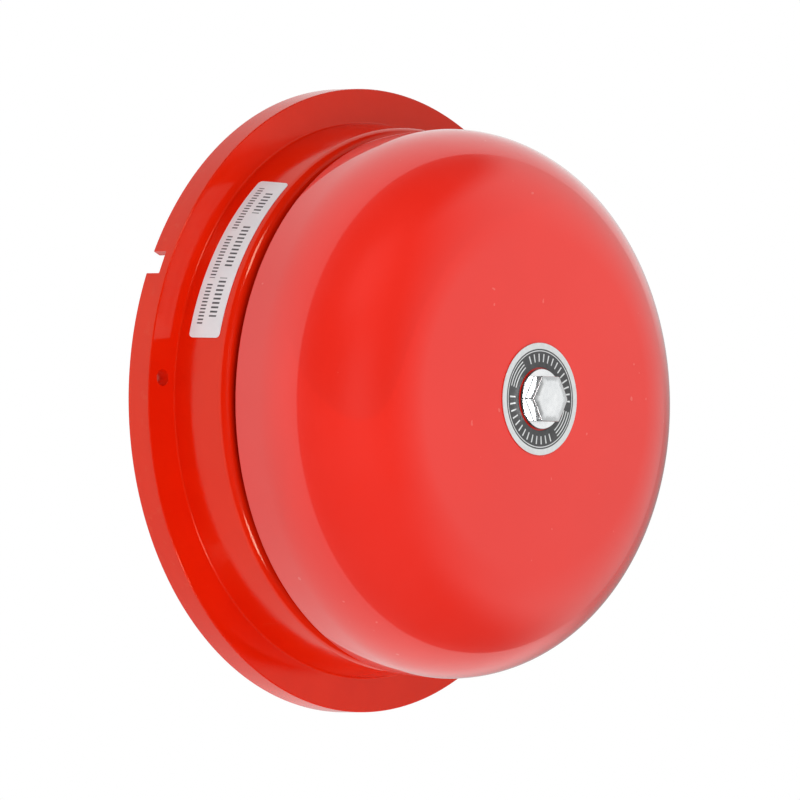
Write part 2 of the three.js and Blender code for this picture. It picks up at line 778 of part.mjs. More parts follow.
// Diode with a wire at each end, lying along y.
function diodeBody() {
  const middle = (diode.top + diode.bottom) / 2;
  const half = diode.bodyLength / 2;
  const wire = 0.6;
  return turned([
    [0, diode.bottom],
    [wire, diode.bottom],
    [wire, middle - half],
    [diode.bodyRadius - 0.5, middle - half],
    [diode.bodyRadius, middle - half + 0.5],
    [diode.bodyRadius, middle + half - 0.5],
    [diode.bodyRadius - 0.5, middle + half],
    [wire, middle + half],
    [wire, diode.top],
    [0, diode.top],
  ], 16);
}
const diodeMesh = add(bell, 'rectifier_diode', diodeBody(), blackPlastic);
diodeMesh.rotation.x = -Math.PI / 2;
diodeMesh.position.set(diode.x, 0, diode.z);

bell.rotation.x = Math.PI / 2;

export default bell;
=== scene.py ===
"""Fire alarm bell: the visual model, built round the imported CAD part.

Pieces are drawn as the CAD source draws them: a front elevation with x to the right, y up and z out
of the wall, in mm. at() turns that into the part's frame, in metres.
"""

import math

import bmesh
import bpy
from mathutils import Matrix, Vector


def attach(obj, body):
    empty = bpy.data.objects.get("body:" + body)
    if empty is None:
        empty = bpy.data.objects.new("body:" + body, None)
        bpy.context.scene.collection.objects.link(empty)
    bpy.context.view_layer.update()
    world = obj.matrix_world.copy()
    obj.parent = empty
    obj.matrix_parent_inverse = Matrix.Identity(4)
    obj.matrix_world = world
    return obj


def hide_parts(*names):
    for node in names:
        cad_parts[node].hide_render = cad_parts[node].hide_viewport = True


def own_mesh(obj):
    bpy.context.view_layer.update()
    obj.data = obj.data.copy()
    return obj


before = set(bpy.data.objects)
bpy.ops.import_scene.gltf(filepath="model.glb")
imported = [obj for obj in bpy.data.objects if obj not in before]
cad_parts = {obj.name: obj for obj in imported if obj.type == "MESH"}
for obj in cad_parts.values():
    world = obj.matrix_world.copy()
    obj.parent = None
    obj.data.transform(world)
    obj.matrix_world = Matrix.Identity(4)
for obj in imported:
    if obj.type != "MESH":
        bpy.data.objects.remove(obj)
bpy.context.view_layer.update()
scene = bpy.context.scene
scene.view_settings.view_transform = "Standard"

MM = 0.001


def at(x, y, z):
    return Vector((x, -z, y)) * MM


# ---- camera

AIM = Vector((0, -0.03, 0))


def towards(azimuth, elevation):
    """The direction in which a viewer or a lamp lies from the bell, from angles in degrees."""
    around, above = math.radians(azimuth), math.radians(elevation)
    flat = math.cos(above)
    return Vector((math.sin(around) * flat, -math.cos(around) * flat, math.sin(above)))


def place_camera():
    azimuth, elevation, distance = -47.68, -1.3, 1.563
    around, roll = math.radians(azimuth), math.radians(0.67)
    back = towards(azimuth, elevation)
    right = Vector((math.cos(around), math.sin(around), 0))
    up = back.cross(right)
    right_rolled = right * math.cos(roll) + up * math.sin(roll)
    up_rolled = up * math.cos(roll) - right * math.sin(roll)
    turn = Matrix((right_rolled, up_rolled, back)).transposed()
    camera = bpy.data.objects.new("camera", bpy.data.cameras.new("camera"))
    scene.collection.objects.link(camera)
    scene.camera = camera
    camera.rotation_mode = "QUATERNION"
    camera.rotation_quaternion = turn.to_quaternion()
    camera.location = AIM + back * distance
    camera.data.sensor_width = 36
    camera.data.lens = 254.88
    camera.data.shift_x = -0.036375
    camera.data.dof.use_dof = False
    camera.data.clip_end = 20


place_camera()

# ---- node helpers


class Graph:
    """Short calls for adding nodes to a node tree. An input may be a number or another socket."""

    def __init__(self, tree):
        self.tree = tree

    def add(self, kind, inputs=None, **settings):
        node = self.tree.nodes.new(kind)
        for key, value in settings.items():
            setattr(node, key, value)
        for key, value in (inputs or {}).items():
            self.set(node.inputs[key], value)
        return node

    def set(self, socket, value):
        if isinstance(value, bpy.types.NodeSocket):
            self.tree.links.new(value, socket)
        elif isinstance(value, (tuple, list)) and len(value) == 3 and socket.type == "RGBA":
            socket.default_value = (*value, 1)
        else:
            socket.default_value = value

    def math(self, operation, first, second=0.0):
        return self.add("ShaderNodeMath", {0: first, 1: second}, operation=operation).outputs[0]

    def ramp(self, value, start, end, low=0.0, high=1.0):
        """Value turned smoothly from start..end to low..high, held at both ends."""
        inputs = {"Value": value, "From Min": start, "From Max": end, "To Min": low, "To Max": high}
        if start > end:
            inputs.update({"From Min": end, "From Max": start, "To Min": high, "To Max": low})
        return self.add("ShaderNodeMapRange", inputs, interpolation_type="SMOOTHSTEP").outputs[0]

    def between(self, value, low, high, soft):
        rise = self.ramp(value, low - soft, low + soft)
        fall = self.ramp(value, high + soft, high - soft)
        return self.math("MULTIPLY", rise, fall)

    def chain(self, operation, values):
        result = values[0]
        for value in values[1:]:
            result = self.math(operation, result, value)
        return result

    def product(self, *values):
        return self.chain("MULTIPLY", values)

    def total(self, *values):
        return self.chain("ADD", values)

    def largest(self, *values):
        return self.chain("MAXIMUM", values)

    def length(self, first, second):
        return self.math("SQRT", self.total(self.product(first, first), self.product(second, second)))

    def place(self, kind="Object"):
        return self.add("ShaderNodeTexCoord").outputs[kind]

    def split(self, kind="Object"):
        """The x, y and z of the place."""
        return self.add("ShaderNodeSeparateXYZ", {0: self.place(kind)}).outputs

    def noise(self, scale, detail=3.0, rough=0.5, stretch=(1, 1, 1), distortion=0.0):
        """Noise from 0 to 1; scale is in features per metre."""
        spot = self.place()
        if tuple(stretch) != (1, 1, 1):
            spot = self.add("ShaderNodeMapping", {"Vector": spot, "Scale": stretch}).outputs[0]
        inputs = {"Vector": spot, "Scale": scale, "Detail": detail, "Roughness": rough}
        inputs["Distortion"] = distortion
        return self.add("ShaderNodeTexNoise", inputs).outputs[0]

    def mix(self, share, first, second):
        inputs = {0: share, 6: first, 7: second}
        return self.add("ShaderNodeMix", inputs, data_type="RGBA").outputs[2]

    def bump(self, height, distance, normal=None):
        inputs = {"Height": height, "Distance": distance, "Strength": 1.0}
        if normal is not None:
            inputs["Normal"] = normal
        return self.add("ShaderNodeBump", inputs).outputs[0]


def new_material(name):
    material = bpy.data.materials.new(name)
    material.use_nodes = True
    material.node_tree.nodes.clear()
    return material, Graph(material.node_tree)


def finish_material(graph, **inputs):
    """Adds the shader and the output. Input names are the shader's, with _ for a space."""
    shader = graph.add("ShaderNodeBsdfPrincipled")
    for key, value in inputs.items():
        graph.set(shader.inputs[key.replace("_", " ")], value)
    graph.add("ShaderNodeOutputMaterial", {"Surface": shader.outputs[0]})


# ---- light


def build_world():
    """A studio: white wall behind the bell, soft box at the right, darker room at the left."""
    world = bpy.data.worlds.new("studio")
    scene.world = world
    world.use_nodes = True
    world.node_tree.nodes.clear()
    graph = Graph(world.node_tree)
    x, y, z = graph.split("Generated")
    height = graph.math("ABSOLUTE", z)

    wall = graph.ramp(y, 0.045, 0.07)
    wall_level = graph.ramp(height, 0.1, 0.8, 0.90, 0.74)
    right_low = graph.product(graph.ramp(x, 0.55, 0.88), graph.between(z, -0.42, 0.10, 0.13), 0.68)
    wall_light = graph.product(wall, wall_level, graph.math("SUBTRACT", 1.0, right_low))

    azimuth = graph.math("ARCTAN2", x, graph.math("MULTIPLY", y, -1.0))
    degree = math.pi / 180
    rise = graph.ramp(azimuth, -5 * degree, 60 * degree)
    fall = graph.ramp(azimuth, 120 * degree, 75 * degree, 0.5, 1)
    top = graph.ramp(z, math.sin(58 * degree), math.sin(42 * degree))
    bottom = graph.ramp(z, -math.sin(50 * degree), -math.sin(22 * degree))
    box_light = graph.product(rise, fall, top, bottom, graph.ramp(y, 0.07, 0.045), 0.62)

    level = graph.total(wall_light, box_light, 0.035)
    seen = graph.add("ShaderNodeLightPath").outputs["Is Camera Ray"]
    # The camera sees plain white behind the bell; everything else sees the studio.
    strength = graph.total(seen, graph.product(graph.math("SUBTRACT", 1.0, seen), level))
    background = graph.add("ShaderNodeBackground", {"Color": (1.0, 1.0, 1.0), "Strength": strength})
    graph.add("ShaderNodeOutputWorld", {"Surface": background.outputs[0]})


def area_light(name, azimuth, elevation, size, irradiance, glossy=False, distance=3.0):
    """An area light aimed at the bell, of a width and height in metres.

    irradiance is what it gives a surface that faces it.
    """
    light = bpy.data.lights.new(name, "AREA")
    light.shape = "RECTANGLE"
    light.size, light.size_y = size
    light.energy = irradiance * math.pi * math.pi * distance**2
    lamp = bpy.data.objects.new(name, light)
    scene.collection.objects.link(lamp)
    back = towards(azimuth, elevation)
    lamp.location = AIM + back * distance
    lamp.rotation_mode = "QUATERNION"
    lamp.rotation_quaternion = back.to_track_quat("Z", "Y")
    lamp.visible_camera = False
    lamp.visible_glossy = glossy
    return lamp


gong_only = bpy.data.collections.new("gong_only")
all_but_gong = bpy.data.collections.new("all_but_gong")
fastening = bpy.data.collections.new("fastening")
bolt_only = bpy.data.collections.new("bolt_only")


def light_only(receivers, *lamp):
    """An area light that lights only the pieces of a collection."""
    area_light(*lamp).light_linking.receiver_collection = receivers


build_world()
area_light("front_light", -32, -6, (1.4, 3.0), 0.34)
area_light("high_light", -45, 38, (1.0, 1.0), 0.146)
area_light("low_light", -45, -38, (1.0, 1.0), 0.076)
# In front at the left, the gong takes only a lamp's soft light, and the rest shows its reflection.
for side, elevation, soft, bright in (("upper", 42, 0.46, 0.13), ("lower", -42, 0.36, 0.17)):
    light_only(gong_only, f"{side}_lamp_soft", -30, elevation, (0.5, 0.5), soft, False, 1.1)
    light_only(all_but_gong, f"{side}_lamp_bright", -30, elevation, (0.7, 0.7), bright, True)
light_only(fastening, "glint", 47, 2, (0.8, 0.8), 0.010, True)
for elevation in (-30, 30):
    light_only(bolt_only, "bolt_light", -80, elevation, (1.2, 1.2), 1.0, True)


def floor_material():
    material, graph = new_material("pale_floor")
    shade = graph.ramp(graph.noise(3.0, 4.0), 0.3, 0.7)
    colour = graph.mix(shade, (0.80, 0.80, 0.79), (0.84, 0.84, 0.83))
    normal = graph.bump(graph.noise(400.0, 2.0), 0.0004)
    finish_material(graph, Base_Color=colour, Roughness=0.8, Normal=normal)
    return material


def build_floor():
    mesh = bpy.data.meshes.new("floor")
    half, low = 4.5, -0.45
    corners = [(-half, -half, low), (half, -half, low), (half, half, low), (-half, half, low)]
    mesh.from_pydata(corners, [], [(0, 1, 2, 3)])
    floor = bpy.data.objects.new("floor", mesh)
    scene.collection.objects.link(floor)
    mesh.materials.append(floor_material())
    floor.visible_glossy = False
    floor.visible_shadow = False


build_floor()

# ---- mesh helpers


def make_object(name, points, faces):
    """A mesh object from points in metres. Faces are turned to look outwards."""
    mesh = bpy.data.meshes.new(name)
    mesh.from_pydata([tuple(p) for p in points], [], faces)
    shape = bmesh.new()
    shape.from_mesh(mesh)
    bmesh.ops.remove_doubles(shape, verts=shape.verts, dist=1e-7)
    bmesh.ops.recalc_face_normals(shape, faces=shape.faces)
    shape.to_mesh(mesh)
    shape.free()
    piece = bpy.data.objects.new(name, mesh)
    scene.collection.objects.link(piece)
    return piece


def arc(centre_x, centre_y, radius, start, end, steps):
    """Points on an arc, from one angle to another in degrees."""
    points = []
    for i in range(steps + 1):
        angle = math.radians(start + (end - start) * i / steps)
        points.append((centre_x + radius * math.cos(angle), centre_y + radius * math.sin(angle)))
    return points


def oblong(x0, y0, x1, y1):
    """The corners of a rectangle. With x0 at 0 it is also the outline of a round bar, to be turned."""
    return [(x0, y0), (x1, y0), (x1, y1), (x0, y1)]


def hexagon(across_flats):
    return arc(0, 0, across_flats / math.sqrt(3), 0, 300, 5)


def rounded(outline, radius=0, steps=4):
    """A closed outline with its corners rounded. A point may give its own radius as a third number."""
    almost_straight = math.radians(168)
    result = []
    for i, corner in enumerate(outline):
        here = Vector(corner[:2])
        wanted = corner[2] if len(corner) > 2 else radius
        before = Vector(outline[i - 1][:2]) - here
        after = Vector(outline[(i + 1) % len(outline)][:2]) - here
        if wanted <= 0 or before.angle(after) > almost_straight:
            result.append(tuple(here))
            continue
        turn = before.angle(after)
        reach = min(wanted / math.tan(turn / 2), 0.45 * before.length, 0.45 * after.length)
        actual = reach * math.tan(turn / 2)
        inwards = (before.normalized() + after.normalized()).normalized()
        middle = here + inwards * (actual / math.sin(turn / 2))
        first = here + before.normalized() * reach - middle
        last = here + after.normalized() * reach - middle
        sweep = first.angle_signed(last)
        for step in range(steps + 1):
            result.append(tuple(middle + Matrix.Rotation(-sweep * step / steps, 2) @ first))
    return result


def turned(name, outline, sides, place=at):
    """A [radius, height] outline turned round the z axis; place() says where each point goes."""
    points, rings, faces = [], [], []
    for radius, height in outline:
        if radius < 1e-6:
            rings.append([len(points)])
            points.append(place(0, 0, height))
            continue
        ring = []
        for side in range(sides):
            angle = 2 * math.pi * side / sides
            ring.append(len(points))
            points.append(place(radius * math.cos(angle), radius * math.sin(angle), height))
        rings.append(ring)
    touches_axis = len(rings[0]) == 1 and len(rings[-1]) == 1
    pairs = list(zip(rings, rings[1:]))
    if not touches_axis:
        pairs.append((rings[-1], rings[0]))
    for low, high in pairs:
        if len(low) == 1 and len(high) == 1:
            continue
        for side in range(sides):
            after = (side + 1) % sides
            corners = [low[side % len(low)], low[after % len(low)]]
            corners += [high[after % len(high)], high[side % len(high)]]
            faces.append(tuple(dict.fromkeys(corners)))
    return make_object(name, points, faces)


def prism(name, outline, low, high, place=at):
    """A flat outline given thickness along z of the elevation."""
    count = len(outline)
    points = [place(x, y, z) for z in (low, high) for x, y in outline]
    faces = [tuple(range(count)), tuple(range(count, 2 * count))]
    faces += [(i, (i + 1) % count, count + (i + 1) % count, count + i) for i in range(count)]
    return make_object(name, points, faces)


def apply_modifiers(piece):
    graph = bpy.context.evaluated_depsgraph_get()
    graph.update()
    mesh = bpy.data.meshes.new_from_object(piece.evaluated_get(graph))
    piece.modifiers.clear()
    piece.data = mesh
    mesh.name = piece.name
    return piece


def combine(piece, others, operation):
    """Joins the others to the piece or cuts them from it, and removes them."""
    for other in others:
        modifier = piece.modifiers.new("cut", "BOOLEAN")
        modifier.operation = operation
        modifier.solver = "MANIFOLD"
        modifier.object = other
    apply_modifiers(piece)
    for other in others:
        bpy.data.objects.remove(other)
    return piece


def bevel(piece, width, segments=3, angle=35):
    """Rounds the sharp edges of a piece; width in mm."""
    modifier = piece.modifiers.new("bevel", "BEVEL")
    modifier.width = width * MM
    modifier.segments = segments
    modifier.limit_method = "ANGLE"
    modifier.angle_limit = math.radians(angle)
    return apply_modifiers(piece)


def shade(piece, angle):
    """Smooth shading with sharp edges kept, and flat faces kept flat."""
    mesh = piece.data
    mesh.shade_smooth()
    mesh.set_sharp_from_angle(angle=math.radians(angle))
    modifier = piece.modifiers.new("normals", "WEIGHTED_NORMAL")
    modifier.keep_sharp = True
    modifier.mode = "FACE_AREA"
    modifier.weight = 60


def settle(piece, node, slot, body="bell", angle=40):
    """Shades a piece, gives it its material, attaches it to its body and hides the CAD node that it
    stands for.
    """
    shade(piece, angle)
    piece.data.materials.clear()
    piece.data.materials.append(look[slot])
    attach(piece, body)
    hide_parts(node)
    return piece


def turned_about(x, y):
    """A place for turned() round an axis at x, y of the elevation."""
    return lambda px, py, pz: at(px + x, py + y, pz)


def spun(angle, distance=0.0):
    """A place turned by an angle in degrees round the gong's axis, after a shift outwards."""
    turn = math.radians(angle)

    def place(px, py, pz):
        out = px + distance
        x = out * math.cos(turn) - py * math.sin(turn)
        y = out * math.sin(turn) + py * math.cos(turn)
        return at(x, y, pz)

    return place


# ---- materials


def red_moulding():
    """Glossy orange-red moulded plastic, with faint flow marks, fine scratches and a rubbed rim."""
    material, graph = new_material("red_moulding")
    x, _, z = graph.split()
    radius = graph.length(x, z)
    flow = graph.noise(22.0, 4.0, 0.55, distortion=0.6)
    colour = graph.mix(graph.ramp(flow, 0.3, 0.7), (0.80, 0.0125, 0.0008), (0.86, 0.0175, 0.0012))
    scratches = graph.ramp(graph.noise(900.0, 2.0, 0.6, stretch=(1, 0.04, 1)), 0.70, 0.76)
    chips = graph.ramp(graph.noise(260.0, 5.0, 0.7), 0.55, 0.72)
    edge = graph.product(graph.ramp(radius, 0.0862, 0.0870), chips)
    worn = graph.math("MAXIMUM", graph.product(scratches, 0.12), graph.product(edge, 0.22))
    colour = graph.mix(worn, colour, (0.83, 0.10, 0.05))
    rough = graph.ramp(graph.noise(55.0, 5.0, 0.6), 0.3, 0.75, 0.10, 0.19)
    rough = graph.total(rough, graph.product(worn, 0.25))
    normal = graph.bump(graph.noise(95.0, 2.0, 0.4), 0.00009)
    normal = graph.bump(graph.noise(1500.0, 3.0, 0.6), 0.000007, normal=normal)
    finish_material(
        graph, Base_Color=colour, Roughness=rough, Normal=normal, IOR=1.5, Specular_Tint=(1.0, 0.96, 0.70)
    )
    return material


def red_enamel():
    """Stoved crimson enamel on pressed steel: clear gloss over a slight orange-peel, with dust nibs."""
    material, graph = new_material("red_enamel")
    cloud = graph.noise(14.0, 3.0, 0.5)
    colour = graph.mix(graph.ramp(cloud, 0.3, 0.7), (0.74, 0.0175, 0.0075), (0.78, 0.0205, 0.0095))
    nibs = graph.ramp(graph.noise(420.0, 1.0, 0.4), 0.79, 0.82)
    colour = graph.mix(graph.product(nibs, 0.5), colour, (0.80, 0.16, 0.13))
    rough = graph.ramp(graph.noise(48.0, 4.0, 0.6), 0.3, 0.7, 0.29, 0.37)
    normal = graph.bump(graph.noise(500.0, 1.0, 0.5), 0.000004)
    normal = graph.bump(nibs, 0.00002, normal=normal)
    finish_material(
        graph,
        Base_Color=colour,
        Roughness=rough,
        Normal=normal,
        IOR=1.5,
        Coat_Weight=1.0,
        Coat_IOR=1.5,
        Coat_Roughness=0.02,
    )
    return material


def metal(name, first, second, low, high, stretch=(1, 1, 1)):
    """Bare or plated metal: its colour and roughness vary, and it has a fine grain."""
    material, graph = new_material(name)
    colour = graph.mix(graph.ramp(graph.noise(130.0, 4.0, 0.6), 0.3, 0.7), first, second)
    rough = graph.ramp(graph.noise(240.0, 4.0, 0.6), 0.3, 0.7, low, high)
    normal = graph.bump(graph.noise(500.0, 3.0, 0.6, stretch=stretch), 0.000006)
    finish_material(graph, Base_Color=colour, Roughness=rough, Metallic=1.0, Normal=normal)
    return material


def plastic(name, first, second, low, high, grain=900.0, depth=0.00001, **more):
    """Moulded or rubbery material in two near shades, with a fine grain."""
    material, graph = new_material(name)
    colour = graph.mix(graph.ramp(graph.noise(60.0, 4.0, 0.6), 0.3, 0.7), first, second)
    rough = graph.ramp(graph.noise(180.0, 4.0, 0.6), 0.3, 0.7, low, high)
    normal = graph.bump(graph.noise(grain, 3.0, 0.6), depth)
    finish_material(graph, Base_Color=colour, Roughness=rough, Normal=normal, **more)
    return material


def fibre_material():
    """Vulcanised fibre: brown, with short pale strands."""
    material, graph = new_material("fibre")
    strands = graph.ramp(graph.noise(700.0, 5.0, 0.7, stretch=(1, 1, 0.2)), 0.4, 0.7)
    colour = graph.mix(strands, (0.16, 0.055, 0.025), (0.27, 0.11, 0.055))
    normal = graph.bump(strands, 0.00003)
    finish_material(graph, Base_Color=colour, Roughness=0.75, Normal=normal)
    return material


def printed_foil():
    """Self-adhesive foil ring printed dark grey, with a plain scale of ticks and three fine arcs."""
    material, graph = new_material("printed_foil")
    x, _, z = graph.split()
    radius = graph.product(graph.length(x, z), 1 / MM)
    angle = graph.math("MULTIPLY", graph.math("ARCTAN2", z, x), 180 / math.pi)
    soft = 0.05
    # Half a turn at a time: 0 at the middle of the fine arcs.
    arcs_at, arcs_half, ticks_half, pitch, tick = 145.0, 19.0, 62.0, 9.5, 2.1
    arc_radii, arc_stroke, ticks_low, ticks_high = (10.3, 11.25, 12.2), 0.17, 10.1, 12.3
    half_turn = graph.math("PINGPONG", graph.math("ADD", angle, 360 - arcs_at), 90.0)
    rings = [graph.between(radius, r - arc_stroke, r + arc_stroke, soft) for r in arc_radii]
    in_arcs = graph.ramp(half_turn, arcs_half + 1, arcs_half - 1)
    arcs = graph.product(in_arcs, graph.largest(*rings))
    from_ticks = graph.math("SUBTRACT", 90.0, half_turn)
    step = graph.math("PINGPONG", graph.math("ADD", from_ticks, pitch / 2), pitch / 2)
    edge = pitch / 2 - tick / 2
    on_tick = graph.ramp(step, edge - 0.4, edge + 0.4)
    in_scale = graph.ramp(from_ticks, ticks_half, ticks_half - 1)
    ticks = graph.product(on_tick, in_scale, graph.between(radius, ticks_low, ticks_high, soft))
    line = graph.between(radius, 12.95, 13.2, soft)
    band = graph.ramp(radius, 13.55, 13.65)
    light = graph.largest(arcs, ticks, line, band)
    speckle = graph.ramp(graph.noise(900.0, 3.0), 0.3, 0.7)
    ink = graph.mix(speckle, (0.050, 0.051, 0.053), (0.072, 0.073, 0.076))
    foil = graph.mix(speckle, (0.80, 0.82, 0.82), (0.86, 0.88, 0.88))
    colour = graph.mix(light, ink, foil)
    rough = graph.ramp(light, 0, 1, 0.42, 0.34)
    normal = graph.bump(graph.noise(500.0, 3.0), 0.000012)
    finish_material(
        graph,
        Base_Color=colour,
        Roughness=rough,
        Metallic=graph.product(light, 0.35),
        Normal=normal,
        Coat_Weight=0.3,
        Coat_Roughness=0.25,
    )
    return material


LABEL_LENGTH, LABEL_WIDTH = 51.0, 10.0


def label_paper():
    """White satin label. Its print is only rows of plain strokes; it says nothing."""
    material, graph = new_material("label_paper")
    u, v, _ = graph.split("UV")
    along = graph.product(u, LABEL_LENGTH)
    across = graph.product(v, LABEL_WIDTH)
    rows = [
        (6.5, 1.2, 1.25, 0.27, [(4.7, 12.5), (16.7, 30.6), (33.8, 45.2)]),
        (2.7, 0.9, 1.0, 0.21, [(2.9, 18.8), (20.5, 34.0), (35.4, 47.7)]),
    ]
    print_mask = 0.0
    for middle, half, pitch, stroke, words in rows:
        word = graph.largest(*[graph.between(along, start, end, 0.1) for start, end in words])
        broken = graph.ramp(graph.math("PINGPONG", along, pitch / 2), stroke + 0.06, stroke - 0.06)
        row = graph.product(word, broken, graph.between(across, middle - half, middle + half, 0.08))
        print_mask = graph.math("MAXIMUM", print_mask, row)
    cloud = graph.ramp(graph.noise(160.0, 3.0), 0.3, 0.7)
    paper = graph.mix(cloud, (0.83, 0.82, 0.845), (0.88, 0.87, 0.89))
    blotch = graph.ramp(graph.noise(1400.0, 2.0), 0.35, 0.65)
    ink = graph.mix(blotch, (0.055, 0.055, 0.06), (0.10, 0.10, 0.105))
    colour = graph.mix(print_mask, paper, ink)
    rough = graph.ramp(graph.noise(300.0, 3.0), 0.3, 0.7, 0.34, 0.46)
    normal = graph.bump(graph.noise(120.0, 2.0), 0.00003)
    coat = {"Coat_Weight": 0.25, "Coat_Roughness": 0.2}
    finish_material(graph, Base_Color=colour, Roughness=rough, Normal=normal, **coat)
    return material


def coil_windings():
    """Enamelled copper wire: fine turns side by side along the coil, which lies along z. Its colour has
    painted shade in the grooves between turns and a painted highlight on each crest.
    """
    material, graph = new_material("copper_wire")
    wire_pitch = 0.00032
    turn = graph.math("PINGPONG", graph.split()[2], wire_pitch / 2)
    crest_profile_and_shade = graph.ramp(turn, 0, wire_pitch / 2)
    # Painted shade and highlight: the colour runs from dark in each groove to light on each crest. The
    # same profile also gives the bump.
    colour = graph.mix(crest_profile_and_shade, (0.14, 0.035, 0.012), (0.52, 0.17, 0.07))
    normal = graph.bump(crest_profile_and_shade, 0.00012)
    finish_material(graph, Base_Color=colour, Roughness=0.3, Metallic=0.8, Normal=normal)
    return material


look = {
    "red_moulding": red_moulding(),
    "red_enamel": red_enamel(),
    "bright_zinc": metal("bright_zinc", (0.82, 0.84, 0.85), (0.90, 0.91, 0.91), 0.16, 0.25),
    "plated_steel": metal("plated_steel", (0.46, 0.44, 0.39), (0.58, 0.56, 0.51), 0.30, 0.42),
    "soft_iron": metal("soft_iron", (0.20, 0.20, 0.205), (0.30, 0.30, 0.31), 0.38, 0.55, (1, 1, 0.1)),
    "brass": metal("brass", (0.62, 0.40, 0.13), (0.74, 0.52, 0.20), 0.30, 0.40),
    "copper_wire": coil_windings(),
    "nylon": plastic("nylon", (0.72, 0.69, 0.58), (0.80, 0.77, 0.67), 0.38, 0.5, Subsurface_Weight=0.1),
    "black_moulding": plastic("black_moulding", (0.012, 0.012, 0.013), (0.022, 0.022, 0.023), 0.38, 0.55),
    "rubber": plastic("rubber", (0.010, 0.010, 0.010), (0.020, 0.019, 0.018), 0.7, 0.85, depth=0.00003),
    "fibre": fibre_material(),
    "coil_tape": plastic("coil_tape", (0.66, 0.43, 0.05), (0.74, 0.51, 0.08), 0.3, 0.45, grain=300.0),
    "label_paper": label_paper(),
    "printed_foil": printed_foil(),
    "red_lead": plastic("red_lead", (0.42, 0.012, 0.010), (0.50, 0.022, 0.016), 0.4, 0.5),
    "blue_lead": plastic("blue_lead", (0.020, 0.065, 0.30), (0.030, 0.085, 0.36), 0.4, 0.5),
}

# ---- base

GAP = 0.3
BASE_SIDES = 256
WELL_FLOOR, FLOOR_BACK = 15.0, 12.4
WELL_RADIUS, NECK_RADIUS, LIP_RADIUS, RIM_RADIUS, FRONT = 62.0, 77.2, 75.4, 87.0, 25.3
NECK_LOW, LIP_ROUND = 7.7, 3.2
NOTCH_ANGLE = 156
TERMINAL_ANGLE, BLOCK_AT = 154, 44
GROMMET = (-25, -2)
FIXING_ANGLE, FIXING_RADIUS = 177.1, 81.7
CHASSIS_SCREWS = [(-17, -51), (17, -51), (0, 17)]


def build_base():
    outline = [
        (0, FLOOR_BACK, 0), (64.6, FLOOR_BACK, 0.5), (64.6, 22.7, 0.6), (72.8, 22.7, 1.0),
        (74.6, 5.1, 0.6), (84.4, 5.1, 0.6), (84.4, 0, 0.25), (RIM_RADIUS, 0, 0.3),
        (86.8, NECK_LOW, 0.4), (NECK_RADIUS, NECK_LOW, 0.6), (LIP_RADIUS, FRONT - LIP_ROUND, 0),
        *[(x, y, 0) for x, y in arc(LIP_RADIUS - LIP_ROUND, FRONT - LIP_ROUND, LIP_ROUND, 5, 90, 14)],
        (WELL_RADIUS, FRONT, 0.8), (WELL_RADIUS, WELL_FLOOR, 0.8), (0, WELL_FLOOR, 0),
    ]
    base = turned("base_moulding", rounded(outline, 0), BASE_SIDES)
    added, removed = [], []

    rib_half = 0.9
    trench_rib = [(WELL_RADIUS + 1, 7), (75.6, 7), (73.8, 23.8), (WELL_RADIUS + 1, 23.8)]
    for step in range(8):
        place = spun(22.5 + 45 * step)
        rib = prism("rib", trench_rib, -rib_half, rib_half, lambda px, py, pz: place(px, pz, py))
        added.append(bevel(rib, 0.35))
    for step in range(7):
        spoke = oblong(13, -rib_half, 63, rib_half)
        rib = prism("rib", spoke, FLOOR_BACK - 4, FLOOR_BACK + 1, spun(-135 + 45 * step))
        added.append(bevel(rib, 0.35))

    for x, y in CHASSIS_SCREWS:
        boss = [(0, 4.5), (4, 4.5, 0.4), (4, FLOOR_BACK + 1), (0, FLOOR_BACK + 1)]
        added.append(turned("boss", rounded(boss, 0), 40, turned_about(x, y)))
        removed.append(turned("hole", oblong(0, 6.5, 1.8, 16), 32, turned_about(x, y)))

    pad = [(0, 0), (4.2, 0, 0.2), (4.2, 6.7), (0, 6.7)]
    # The hole's edges are rounded by the cutter, which widens at both faces.
    hole = [(0, -1), (2.8, -1), (2.8, -0.05), *arc(2.5, 0.3, 0.4, 225, 180, 3)]
    hole += [*arc(2.45, 7.47, 0.3, 180, 120, 4), (2.9, 7.8), (2.9, 9), (0, 9)]
    for angle in (FIXING_ANGLE, FIXING_ANGLE + 180):
        x = FIXING_RADIUS * math.cos(math.radians(angle))
        y = FIXING_RADIUS * math.sin(math.radians(angle))
        added.append(turned("pad", rounded(pad, 0), 40, turned_about(x, y)))
        removed.append(turned("hole", hole, 40, turned_about(x, y)))

    notch = prism("notch", oblong(83.4, -3.3, 88, 3.3), -1, 4.8, spun(NOTCH_ANGLE))
    removed.append(bevel(notch, 0.3))
    removed.append(turned("hole", oblong(0, 11, 4.3, 16), 40))
    removed.append(turned("hole", oblong(0, 11, 5, 16), 40, turned_about(*GROMMET)))
    removed.append(turned("hole", oblong(0, 11, 1.5, 14.2), 24, spun(TERMINAL_ANGLE, BLOCK_AT)))

    combine(base, added, "UNION")
    combine(base, removed, "DIFFERENCE")
    settle(base, "base_shell", "red_moulding", angle=38)


build_base()


